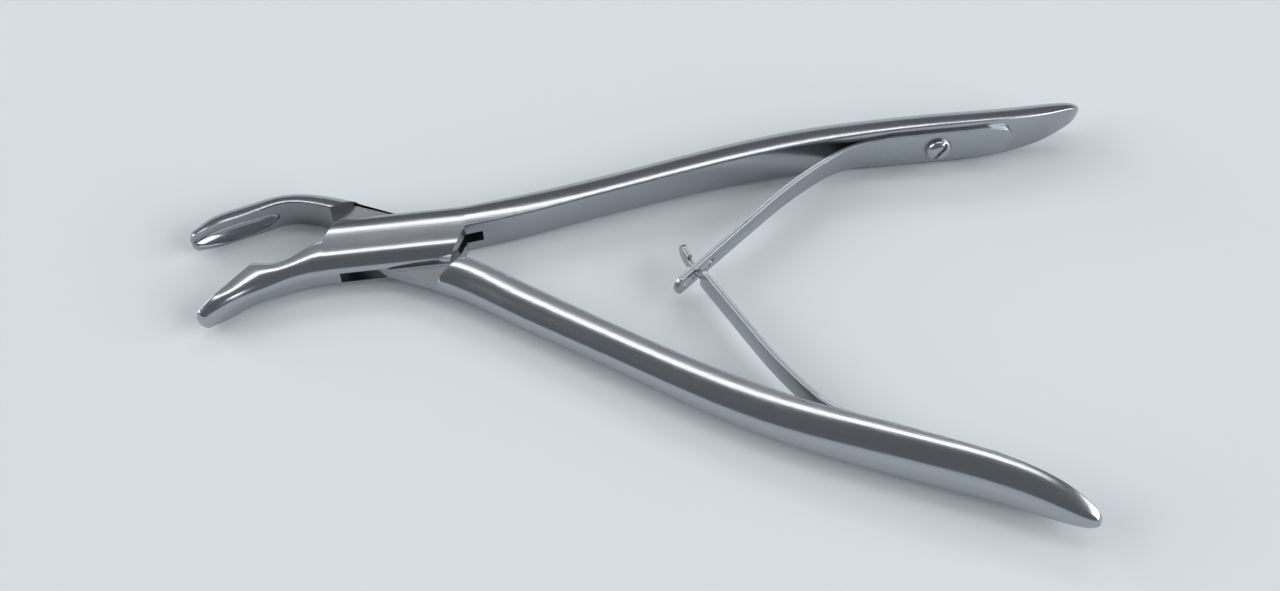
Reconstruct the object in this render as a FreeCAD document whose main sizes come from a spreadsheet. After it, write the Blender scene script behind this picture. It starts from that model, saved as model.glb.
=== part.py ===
import FreeCAD, Part
import math
import os
import Sketcher
from FreeCAD import Vector

# Bone rongeur with a box lock and a double leaf spring, in millimetres.
# Both members are drawn closed, about the pivot axis at the origin, with +X towards the handles.
# Each is then swung open by half the opening angle and lifted so that the box rests on z = 0.

DIMENSIONS = [
    ("opening_angle", 25.0, "angle between the members from closed jaws to the rest position"),
    ("box_height", 8.4, "thickness of the box lock"),
    ("box_width", 11.2, "width of the box across its straight sides"),
    ("box_front", 13.2, "pivot to the jaw end of the box on the centre line"),
    ("box_back", 12.2, "pivot to the handle end of the box"),
    ("box_edge_radius", 2.2, "rounding of the long edges of the box"),
    ("inner_edge_bevel", 0.3, "bevel along the edges of the flat inner faces"),
    ("outer_rounding", 0.86, "outer edge radius as a share of the largest that fits"),
    ("shoulder_slant", 60.0, "angle of the shoulders from the centre line"),
    ("handle_shoulder_gap", 0.7, "clearance between the box and the handle shoulder when closed"),
    ("jaw_shoulder_gap", 0.5, "clearance between the box and the jaw shoulder when closed"),
    ("slot_height", 2.9, "height of the slot through the box"),
    ("slot_length", 22.6, "length of the slot across its end walls"),
    ("lap_clearance", 0.05, "clearance above and below the waist in the slot"),
    ("waist_reach", 9.2, "pivot to the slanted ends of the waist"),
    ("pin_diameter", 4.0, "joint pin"),
    ("pin_clearance", 0.05, "radial running clearance of the pin in the waist"),
    ("rim_x", -26.4, "rear corner of the jaw rims, along the instrument"),
    ("rim_y", -2.0, "rear corner of the jaw rims, across the instrument"),
    ("rim_slope", 41.6, "angle of the parting plane of the jaw rims"),
    ("rim_length", 13.1, "length of the parting plane from its rear corner to the tips"),
    ("rim_gap", 0.1, "clearance between the two rims when closed"),
    ("rim_stock", 0.15, "forging left on each rim before it is ground flat"),
    ("cup_length", 13.4, "length of the cup hollow"),
    ("cup_width", 5.5, "width of the cup hollow"),
    ("cup_depth", 2.5, "depth of the cup hollow"),
    ("cup_setback", 5.9, "rear corner of the rim to the middle of the cup"),
    ("seat_inset", 10.45, "centre line to the flat spring seat on the handle"),
    ("seat_start", 86.0, "jaw end of the spring seat"),
    ("seat_end", 117.0, "rear end of the spring seat"),
    ("leaf_thickness", 1.1, "thickness of the leaf springs"),
    ("leaf_end", 115.6, "rear end of the leaf plate"),
    ("leaf_bend_start", 89.0, "where the leaf leaves its seat"),
    ("leaf_bend_radius", 20.0, "radius of the first bend of the leaf"),
    ("leaf_bend_angle", 27.0, "turn of the first bend"),
    ("leaf_sweep_radius", 80.0, "radius of the long sweep of the leaf"),
    ("leaf_angle", 38.0, "angle of the straight end of the leaf"),
    ("leaf_straight", 23.9, "length of the straight end of the leaf"),
    ("leaf_plate_rear", 110.5, "rear end of the full-width plate"),
    ("leaf_plate_front", 92.5, "jaw end of the full-width plate"),
    ("leaf_neck_place", 84.0, "where the leaf reaches its neck width"),
    ("leaf_plate_width", 8.6, "width of the leaf at its screw"),
    ("leaf_neck_width", 5.6, "width of the leaf beyond its bend"),
    ("leaf_tail_width", 6.2, "width of the leaf at its rear end"),
    ("slotted_end_width", 4.4, "width of the slotted leaf at its free end"),
    ("tongue_leaf_width", 5.2, "width of the tongue leaf at its shoulder"),
    ("leaf_slot_width", 1.9, "width of the slot in the slotted leaf"),
    ("leaf_slot_length", 8.0, "length of the slot in the slotted leaf"),
    ("leaf_slot_end", 1.5, "material beyond the slot"),
    ("tongue_width", 1.3, "width of the tongue"),
    ("tongue_shoulder", 7.2, "free end to the shoulder of the tongue leaf"),
    ("tongue_head_length", 3.2, "length of the head of the tongue"),
    ("tongue_head_width", 3.8, "width of the head of the tongue"),
    ("screw_place", 101.3, "pivot to the spring screw along the handle"),
    ("screw_diameter", 3.0, "shank of the spring screw"),
    ("screw_depth", 3.6, "length of the shank in the handle"),
    ("screw_hole_clearance", 0.1, "radial clearance of the screw in the leaf"),
    ("screw_head_diameter", 5.0, "head of the spring screw"),
    ("screw_head_height", 1.5, "height of the bevelled head"),
    ("screw_slot_width", 0.8, "width of the driver slot"),
    ("screw_slot_depth", 0.7, "depth of the driver slot"),
]

# Cross-sections of a handle: place along the instrument, inset of the flat inner face
# from the centre line, thickness from that face outwards, and height.
HANDLE_SECTIONS = [
    ("root", 12.2, 0.35, 5.25, 8.4),
    ("neck", 22.0, 1.7, 5.3, 8.0),
    ("stem", 33.0, 3.7, 5.4, 7.7),
    ("reach", 40.0, 5.0, 5.45, 7.75),
    ("arm", 47.0, 6.2, 5.5, 7.9),
    ("swell", 55.0, 7.55, 5.65, 8.2),
    ("rise", 63.0, 8.7, 5.8, 8.7),
    ("shank", 76.0, 10.0, 5.8, 9.9),
    ("grip", 88.0, 10.35, 5.7, 11.2),
    ("palm", 100.0, 10.35, 5.5, 11.9),
    ("heel", 111.0, 10.35, 5.3, 11.4),
    ("flare", 118.5, 10.95, 4.9, 9.9),
    ("wane", 121.5, 11.5, 4.5, 8.8),
    ("curl", 124.0, 12.1, 4.0, 7.6),
    ("brim", 126.0, 12.75, 3.4, 6.4),
    ("crown", 127.6, 13.5, 2.6, 4.9),
    ("nib", 128.7, 14.15, 1.75, 3.35),
    ("tip", 129.4, 14.6, 1.1, 2.2),
]

# Cross-sections of the jaws behind their rims: place along and across of the inner face,
# turn of the section, thickness outwards and height.
LOWER_ARM_SECTIONS = [
    ("lower_heel", -11.0, 0.6, 0.0, 6.2, 8.4),
    ("lower_root", -13.2, 0.6, 0.0, 6.2, 8.4),
    ("lower_arm", -17.9, -0.8, 8.0, 4.8, 7.8),
    ("lower_bend", -22.6, -2.0, 16.0, 4.4, 7.3),
]
UPPER_ARM_SECTIONS = [
    ("upper_heel", -8.0, 1.9, 0.0, 3.7, 8.4),
    ("upper_root", -13.5, 2.1, 0.0, 4.2, 7.9),
    ("upper_arch", -18.2, 2.6, 9.0, 3.5, 7.4),
    ("upper_bend", -22.8, 1.45, 29.0, 3.4, 7.1),
]

# Cross-sections along the rims: distance from the rear corner as a share of the rim's length,
# turn of the section, thickness outwards and height.
LOWER_RIM_SECTIONS = [
    ("lower_rim", 0.0, 30.0, 5.1, 7.1),
    ("lower_cup", 0.38, 36.0, 4.1, 6.9),
    ("lower_nose", 0.725, 41.6, 3.5, 6.3),
    ("lower_brow", 0.915, 41.6, 2.6, 4.9),
    ("lower_tip", 1.0, 41.6, 1.3, 2.8),
]
UPPER_RIM_SECTIONS = [
    ("upper_rim", 0.06, 41.6, 4.0, 7.1),
    ("upper_cup", 0.38, 41.6, 4.1, 6.9),
    ("upper_nose", 0.725, 41.6, 3.8, 6.3),
    ("upper_brow", 0.915, 41.6, 2.8, 4.9),
    ("upper_tip", 1.0, 41.6, 1.3, 2.8),
]

# Values worked out from the ones above.
DERIVED = [
    ("mid_height", "=box_height / 2"),
    ("half_opening", "=opening_angle / 2"),
    ("waist_height", "=slot_height - 2 * lap_clearance"),
    ("sweep_start_x", "=leaf_bend_start - leaf_bend_radius * sin(leaf_bend_angle * 1 deg)"),
    ("leaf_centre_y", "=seat_inset - leaf_thickness / 2"),
    ("sweep_start_y", "=leaf_centre_y - leaf_bend_radius * (1 - cos(leaf_bend_angle * 1 deg))"),
    ("sweep_end_x", "=sweep_start_x - leaf_sweep_radius"
                    " * (sin(leaf_angle * 1 deg) - sin(leaf_bend_angle * 1 deg))"),
    ("sweep_end_y", "=sweep_start_y - leaf_sweep_radius"
                    " * (cos(leaf_bend_angle * 1 deg) - cos(leaf_angle * 1 deg))"),
    ("leaf_tip_x", "=sweep_end_x - leaf_straight * cos(leaf_angle * 1 deg)"),
    ("leaf_tip_y", "=sweep_end_y - leaf_straight * sin(leaf_angle * 1 deg)"),
]

DEGREE = math.pi / 180

doc = FreeCAD.newDocument("bone_rongeur")
sheet = doc.addObject("Spreadsheet::Sheet", "Sizes")
row_count = 0


def add_row(alias, value, note=""):
    """Write one named cell, a plain number or a formula, on the next row of the sheet."""
    global row_count
    row_count += 1
    sheet.set("A%d" % row_count, alias)
    sheet.set("B%d" % row_count, str(value))
    sheet.set("C%d" % row_count, note)
    sheet.setAlias("B%d" % row_count, alias)


def add_section_rows(name, place_x, place_y, turn, thick, high):
    """Name the cells of one cross-section and work out its outer edge radius."""
    add_row(name + "_x", place_x)
    add_row(name + "_y", place_y)
    add_row(name + "_turn", turn)
    add_row(name + "_thick", thick)
    add_row(name + "_high", high)
    limits = "%s_thick - 1.2 * inner_edge_bevel; %s_high / 2" % (name, name)
    add_row(name + "_round", "=outer_rounding * min(%s)" % limits)


def add_rim_rows(name, share, turn, thick, high, side):
    """A cross-section whose inner face stands proud of the parting plane by the rim stock."""
    along = "%s * rim_length" % share
    proud = "%d * rim_stock" % -side
    place_x = "=rim_x - %s * cos(rim_slope * 1 deg) - %s * sin(rim_slope * 1 deg)" % (along, proud)
    place_y = "=rim_y - %s * sin(rim_slope * 1 deg) + %s * cos(rim_slope * 1 deg)" % (along, proud)
    add_section_rows(name, place_x, place_y, turn, thick, high)


for alias, value, note in DIMENSIONS:
    add_row(alias, value, note)
for name, place_x, inset, thick, high in HANDLE_SECTIONS:
    add_section_rows(name, place_x, inset, 0.0, thick, high)
for arm_row in LOWER_ARM_SECTIONS + UPPER_ARM_SECTIONS:
    add_section_rows(*arm_row)
for rim_row in LOWER_RIM_SECTIONS:
    add_rim_rows(*rim_row, side=-1)
for rim_row in UPPER_RIM_SECTIONS:
    add_rim_rows(*rim_row, side=1)
for alias, formula in DERIVED:
    add_row(alias, formula)
doc.recompute()
SPARE_CELL = "E1"
known = {}


def size(expression):
    """Present value of an expression, worked out in a spare cell of the sheet."""
    if expression not in known:
        sheet.set(SPARE_CELL, "=" + expression.replace("Sizes.", ""))
        sheet.recompute()
        known[expression] = float(sheet.get(SPARE_CELL))
    return known[expression]


def new_body(label, side, mirrored=False):
    """A sub-part drawn closed, then swung open: side is +1 on the box member, -1 on the through member.

    A mirrored sub-part is drawn on the upper handle and turned over onto the lower one.
    """
    body = doc.addObject("PartDesign::Body", label)
    body.Label = label
    if mirrored:
        lean = "%d * Sizes.half_opening / 2 * 1 deg" % side
        axis = "cos(%s); sin(%s); 0" % (lean, lean)
        turn = "180"
    else:
        axis = "0; 0; 1"
        turn = "%d * Sizes.half_opening" % side
    lift = "create(<<vector>>; 0; 0; Sizes.mid_height)"
    swing = "create(<<rotation>>; create(<<vector>>; %s); %s)" % (axis, turn)
    body.setExpression("Placement", "create(<<placement>>; %s; %s)" % (lift, swing))
    return body


def new_sketch(body, name, role, offset=("0", "0", "0"), turn_axis="0; 0; 1", turn="0"):
    """A sketch on one of the body's own origin planes, moved and turned by named sizes."""
    plane = [item for item in body.Origin.OriginFeatures if item.Role == role][0]
    sketch = body.newObject("Sketcher::SketchObject", name)
    sketch.AttachmentSupport = [(plane, "")]
    sketch.MapMode = "FlatFace"
    place = "create(<<vector>>; %s; %s; %s)" % offset
    rotation = "create(<<rotation>>; create(<<vector>>; %s); %s)" % (turn_axis, turn)
    sketch.setExpression("AttachmentOffset", "create(<<placement>>; %s; %s)" % (place, rotation))
    return sketch


def bind(sketch, name, index, expression):
    """Name a dimension of a sketch and tie it to the sheet."""
    sketch.renameConstraint(index, name)
    sketch.setExpression("Constraints." + name, expression)


def rounded_section(body, name, place_x, place_y, turn, side, thick, high, inner, outer, bevelled=True):
    """Upright section with a flat inner face, bevelled or rounded inner edges and rounded outer edges."""
    base = (place_y, "0", place_x)
    sketch = new_sketch(body, name, "YZ_Plane", base, "0; 1; 0", turn)
    wide = size(thick)
    half = size(high) / 2
    near = size(inner)
    far = size(outer)
    up = Vector(0, 0, 1)
    corners = [(near, half - near, near, 90, 180), (wide - far, half - far, far, 0, 90),
               (wide - far, far - half, far, 270, 360), (near, near - half, near, 180, 270)]
    lines = [((0, near - half), (0, half - near)), ((near, half), (wide - far, half)),
             ((wide, half - far), (wide, far - half)), ((wide - far, -half), (near, -half))]
    points = [Vector(side * across, upward, 0) for line in lines for across, upward in line]
    straight = (0, 3) if bevelled else ()
    for index, corner in enumerate(corners):
        sketch.addGeometry(Part.LineSegment(points[2 * index], points[2 * index + 1]), False)
        if index in straight:
            following = points[(2 * index + 2) % 8]
            sketch.addGeometry(Part.LineSegment(points[2 * index + 1], following), False)
            continue
        centre_u, centre_v, radius, first, last = corner
        if side < 0:
            first, last = 180 - last, 180 - first
        whole = Part.Circle(Vector(side * centre_u, centre_v, 0), up, radius)
        sketch.addGeometry(Part.ArcOfCircle(whole, first * DEGREE, last * DEGREE), False)
    entry = 2 if side > 0 else 1
    leave = 3 - entry
    for index in range(4):
        line = 2 * index
        turn_edge = line + 1
        following = (line + 2) % 8
        if index in straight:
            sketch.addConstraint(Sketcher.Constraint("Coincident", line, 2, turn_edge, 1))
            sketch.addConstraint(Sketcher.Constraint("Coincident", turn_edge, 2, following, 1))
            continue
        sketch.addConstraint(Sketcher.Constraint("Tangent", line, 2, turn_edge, entry))
        sketch.addConstraint(Sketcher.Constraint("Tangent", turn_edge, leave, following, 1))
    for line, direction in ((0, "Vertical"), (2, "Horizontal"), (4, "Vertical"), (6, "Horizontal")):
        sketch.addConstraint(Sketcher.Constraint(direction, line))
    sketch.addConstraint(Sketcher.Constraint("PointOnObject", 0, 1, -2))
    if bevelled:
        first, last = (1, 2) if side > 0 else (2, 1)
        for name, across, upward in (("inner_top", (1, first, 1, last), (1, 1, 1, 2)),
                                     ("inner_bottom", (7, last, 7, first), (7, 1, 7, 2))):
            level = sketch.addConstraint(Sketcher.Constraint("DistanceX", *across, near))
            bind(sketch, name + "_across", level, inner)
            level = sketch.addConstraint(Sketcher.Constraint("DistanceY", *upward, near))
            bind(sketch, name + "_upward", level, inner)
    else:
        bind(sketch, "inner_top", sketch.addConstraint(Sketcher.Constraint("Radius", 1, near)), inner)
        bind(sketch, "inner_bottom", sketch.addConstraint(Sketcher.Constraint("Radius", 7, near)), inner)
    bind(sketch, "outer_top", sketch.addConstraint(Sketcher.Constraint("Radius", 3, far)), outer)
    bind(sketch, "outer_bottom", sketch.addConstraint(Sketcher.Constraint("Radius", 5, far)), outer)
    first_point = (0, 1, 4, 2) if side > 0 else (4, 2, 0, 1)
    bind(sketch, "thickness", sketch.addConstraint(Sketcher.Constraint("DistanceX", *first_point, wide)), thick)
    bind(sketch, "above", sketch.addConstraint(Sketcher.Constraint("DistanceY", -1, 1, 2, 1, half)), high + " / 2")
    bind(sketch, "below", sketch.addConstraint(Sketcher.Constraint("DistanceY", 6, 1, -1, 1, half)), high + " / 2")
    return sketch


def outline(body, name, role, points, offset=("0", "0", "0")):
    """Closed outline of straight lines whose corners are pairs of named expressions."""
    sketch = new_sketch(body, name, role, offset)
    corners = [Vector(size(across), size(upward), 0) for across, upward in points]
    count = len(corners)
    for index in range(count):
        sketch.addGeometry(Part.LineSegment(corners[index], corners[(index + 1) % count]), False)
    for index in range(count):
        sketch.addConstraint(Sketcher.Constraint("Coincident", index, 2, (index + 1) % count, 1))
    for index, (across, upward) in enumerate(points):
        level = Sketcher.Constraint("DistanceX", -1, 1, index, 1, corners[index].x)
        bind(sketch, "across_%d" % (index + 1), sketch.addConstraint(level), across)
        level = Sketcher.Constraint("DistanceY", -1, 1, index, 1, corners[index].y)
        bind(sketch, "upward_%d" % (index + 1), sketch.addConstraint(level), upward)
    return sketch


def round_outline(body, name, role, offset, radius):
    """Circle about the sketch's own origin."""
    sketch = new_sketch(body, name, role, offset)
    sketch.addGeometry(Part.Circle(Vector(0, 0, 0), Vector(0, 0, 1), size(radius)), False)
    sketch.addConstraint(Sketcher.Constraint("Coincident", 0, 3, -1, 1))
    bind(sketch, "radius", sketch.addConstraint(Sketcher.Constraint("Radius", 0, size(radius))), radius)
    return sketch


def pad(body, sketch, name, length, symmetric=True):
    """Add a prism of the sketch."""
    feature = body.newObject("PartDesign::Pad", name)
    feature.Profile = sketch
    feature.SideType = "Symmetric" if symmetric else "One side"
    feature.setExpression("Length", length)
    return feature


def pocket(body, sketch, name, length=None, symmetric=True, upwards=False):
    """Cut a prism of the sketch, right through the body when no length is given."""
    feature = body.newObject("PartDesign::Pocket", name)
    feature.Profile = sketch
    feature.SideType = "Symmetric" if symmetric else "One side"
    feature.Reversed = upwards
    if length is None:
        feature.Type = "ThroughAll"
    else:
        feature.setExpression("Length", length)
    return feature


def loft(body, sketches, name, ruled=False):
    """Skin over a row of sections: smooth, or ruled from each close-set section to the next."""
    feature = body.newObject("PartDesign::AdditiveLoft", name)
    feature.Profile = sketches[0]
    feature.Sections = sketches[1:]
    feature.Ruled = ruled
    return feature


def station(body, name, side, outer=None):
    """One section of the tables; side is the side of the centre line that its rounded back faces."""
    cell = "Sizes." + name
    outer = outer or cell + "_round"
    inner = "Sizes.inner_edge_bevel"
    place_y = cell + "_y"
    return rounded_section(body, name, cell + "_x", place_y, cell + "_turn", side,
                           cell + "_thick", cell + "_high", inner, outer)


def handle_station(body, name, side, outer=None):
    """One section of a handle, mirrored about the centre line on the through member."""
    cell = "Sizes." + name
    outer = outer or cell + "_round"
    place_y = "%d * %s_y" % (side, cell)
    return rounded_section(body, name, cell + "_x", place_y, "0", side,
                           cell + "_thick", cell + "_high", "Sizes.inner_edge_bevel", outer)


def rim_point(along, off):
    """Point at a distance forward along the parting plane and off it, on the upper jaw's side."""
    cosine = "cos(Sizes.rim_slope * 1 deg)"
    sine = "sin(Sizes.rim_slope * 1 deg)"
    place_x = "Sizes.rim_x - (%s) * %s - (%s) * %s" % (along, cosine, off, sine)
    place_y = "Sizes.rim_y - (%s) * %s + (%s) * %s" % (along, sine, off, cosine)
    return place_x, place_y


def grind_rim(body, side):
    """Flatten the rim on its parting plane; side is +1 on the upper jaw."""
    level = "%d * Sizes.rim_gap / 2" % side
    beyond = "%d * (Sizes.rim_gap / 2 - Sizes.upper_rim_thick)" % side
    far = "Sizes.rim_length + Sizes.upper_rim_thick"
    near = "-4 * Sizes.rim_stock"
    points = [rim_point(near, level), rim_point(far, level), rim_point(far, beyond), rim_point(near, beyond)]
    pocket(body, outline(body, "parting_plane", "XY_Plane", points), "rim_face")


def sink_cup(body):
    """Oval hollow with its long axis on the parting plane."""
    centre_x, centre_y = rim_point("Sizes.cup_setback", "0")
    cup = body.newObject("PartDesign::SubtractiveEllipsoid", "cup")
    plane = [item for item in body.Origin.OriginFeatures if item.Role == "XY_Plane"][0]
    cup.AttachmentSupport = [(plane, "")]
    cup.MapMode = "FlatFace"
    place = "create(<<vector>>; %s; %s; 0)" % (centre_x, centre_y)
    turn = "create(<<rotation>>; create(<<vector>>; 0; 0; 1); Sizes.rim_slope)"
    cup.setExpression("AttachmentOffset", "create(<<placement>>; %s; %s)" % (place, turn))
    cup.setExpression("Radius1", "Sizes.cup_width / 2")
    cup.setExpression("Radius2", "Sizes.cup_length / 2")
    cup.setExpression("Radius3", "Sizes.cup_depth")


def screw_bore(body, name, side, radius, length):
    """Bore for the spring screw, started 1 mm inside the seat."""
    offset = ("Sizes.screw_place", "0", "%d * (Sizes.seat_inset - 1)" % -side)
    sketch = round_outline(body, name + "_circle", "XZ_Plane", offset, radius)
    pocket(body, sketch, name, length, symmetric=False, upwards=side < 0)


SLANT = "tan(Sizes.shoulder_slant * 1 deg)"
MARGIN = "Sizes.box_width"


def box_member():
    """Upper handle, slotted box and lower jaw in one piece."""
    body = new_body("box_member", 1)
    edge = "Sizes.box_edge_radius"
    block = rounded_section(body, "box_section", "-Sizes.box_front", "-Sizes.box_width / 2", "0", 1,
                            "Sizes.box_width", "Sizes.box_height", edge, edge, bevelled=False)
    pad(body, block, "box", "Sizes.box_front + Sizes.box_back", symmetric=False)
    handle = [handle_station(body, row[0], 1, edge if row[0] == "root" else None) for row in HANDLE_SECTIONS]
    loft(body, handle, "handle", ruled=True)
    square_ends = ("lower_heel", "lower_root")
    arm = [station(body, row[0], -1, edge if row[0] in square_ends else None) for row in LOWER_ARM_SECTIONS]
    rim = [station(body, row[0], -1) for row in LOWER_RIM_SECTIONS]
    loft(body, arm + rim, "jaw")
    back_corner = ("Sizes.box_back", "Sizes.root_y")
    back_low = ("Sizes.box_back - (%s + Sizes.root_y) / %s" % (MARGIN, SLANT), "-" + MARGIN)
    back_far = ("Sizes.box_back + 1", "-" + MARGIN)
    back_top = ("Sizes.box_back + 1", "Sizes.root_y")
    points = [back_corner, back_low, back_far, back_top]
    pocket(body, outline(body, "handle_end", "XY_Plane", points), "handle_end_cut")
    front_corner = ("-Sizes.box_front", "Sizes.lower_root_y")
    front_high = ("-Sizes.box_front + (%s - Sizes.lower_root_y) / %s" % (MARGIN, SLANT), MARGIN)
    front_far = ("-Sizes.box_front - 1", MARGIN)
    front_low = ("-Sizes.box_front - 1", "Sizes.lower_root_y")
    points = [front_corner, front_high, front_far, front_low]
    pocket(body, outline(body, "jaw_end", "XY_Plane", points), "jaw_end_cut")
    reach = "Sizes.slot_length / sqrt(2)"
    points = [(reach, "0"), ("0", reach), ("-" + reach, "0"), ("0", "-" + reach)]
    pocket(body, outline(body, "slot_outline", "XY_Plane", points), "box_slot", "Sizes.slot_height")
    grind_rim(body, -1)
    sink_cup(body)
    seat = [("Sizes.seat_start", "0"), ("Sizes.seat_end", "0"),
            ("Sizes.seat_end", "Sizes.seat_inset"), ("Sizes.seat_start", "Sizes.seat_inset")]
    pocket(body, outline(body, "spring_seat_outline", "XY_Plane", seat), "spring_seat")
    pin = round_outline(body, "pin_bore_circle", "XY_Plane", ("0", "0", "0"), "Sizes.pin_diameter / 2")
    pocket(body, pin, "pin_bore")
    screw_bore(body, "screw_bore", 1, "Sizes.screw_diameter / 2", "Sizes.screw_depth + 1")
    return body


def through_member():
    """Lower handle, waist through the box and upper jaw in one piece."""
    body = new_body("through_member", -1)
    half = "Sizes.box_width / 2"
    cut = "Sizes.waist_reach * sqrt(2)"
    points = [("Sizes.root_x - 2", "-" + half), ("Sizes.root_x + 4", "-%s + 0.5" % half),
              ("Sizes.root_x + 4", "-Sizes.neck_y - 0.5"), (cut + " - 0.2", "-Sizes.root_y - 0.05"),
              ("%s - %s" % (cut, half), half), ("-Sizes.root_x + 2", half),
              ("-Sizes.root_x - 4", "%s - 0.3" % half), ("-Sizes.root_x - 4", "Sizes.upper_root_y + 1"),
              ("-" + cut, "Sizes.upper_root_y"), ("-" + cut, "0"), ("%s - %s" % (half, cut), "-" + half)]
    pad(body, outline(body, "waist_outline", "XY_Plane", points), "waist", "Sizes.waist_height")
    heel = rounded_section(body, "heel_section", "Sizes.root_x / 2", "-Sizes.root_y", "0", -1,
                           "Sizes.root_thick", "Sizes.root_high", "Sizes.inner_edge_bevel",
                           "Sizes.box_edge_radius")
    handle = [handle_station(body, row[0], -1) for row in HANDLE_SECTIONS]
    loft(body, [heel] + handle, "handle", ruled=True)
    arm = [station(body, row[0], 1) for row in UPPER_ARM_SECTIONS]
    rim = [station(body, row[0], 1) for row in UPPER_RIM_SECTIONS]
    loft(body, arm + rim, "jaw")
    handle_end = "Sizes.box_back + Sizes.handle_shoulder_gap / sin(Sizes.shoulder_slant * 1 deg)"
    jaw_end = "Sizes.box_front + Sizes.jaw_shoulder_gap / sin(Sizes.shoulder_slant * 1 deg)"
    points = [("%s - %s / %s" % (handle_end, MARGIN, SLANT), "-" + MARGIN),
              ("%s + %s / %s" % (handle_end, MARGIN, SLANT), MARGIN),
              ("-(%s) + %s / %s" % (jaw_end, MARGIN, SLANT), MARGIN),
              ("-(%s) - %s / %s" % (jaw_end, MARGIN, SLANT), "-" + MARGIN)]
    above = outline(body, "upper_shoulders", "XY_Plane", points, ("0", "0", "Sizes.waist_height / 2"))
    pocket(body, above, "upper_lap", "Sizes.box_height", symmetric=False, upwards=True)
    below = outline(body, "lower_shoulders", "XY_Plane", points, ("0", "0", "-Sizes.waist_height / 2"))
    pocket(body, below, "lower_lap", "Sizes.box_height", symmetric=False)
    grind_rim(body, 1)
    sink_cup(body)
    seat = [("Sizes.seat_start", "0"), ("Sizes.seat_end", "0"),
            ("Sizes.seat_end", "-Sizes.seat_inset"), ("Sizes.seat_start", "-Sizes.seat_inset")]
    pocket(body, outline(body, "spring_seat_outline", "XY_Plane", seat), "spring_seat")
    bore = "Sizes.pin_diameter / 2 + Sizes.pin_clearance"
    pocket(body, round_outline(body, "pin_bore_circle", "XY_Plane", ("0", "0", "0"), bore), "pin_bore")
    screw_bore(body, "screw_bore", -1, "Sizes.screw_diameter / 2", "Sizes.screw_depth + 1")
    return body


def joint_pin():
    """Plain pin, flush with both faces of the box."""
    body = new_body("joint_pin", 1)
    pad(body, round_outline(body, "pin_circle", "XY_Plane", ("0", "0", "0"), "Sizes.pin_diameter / 2"), "pin",
        "Sizes.box_height")
    return body


def arc(sketch, centre, radius, first, last):
    """Arc drawn anticlockwise between two angles given in radians."""
    whole = Part.Circle(centre, Vector(0, 0, 1), radius)
    return sketch.addGeometry(Part.ArcOfCircle(whole, first, last), False)


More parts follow.
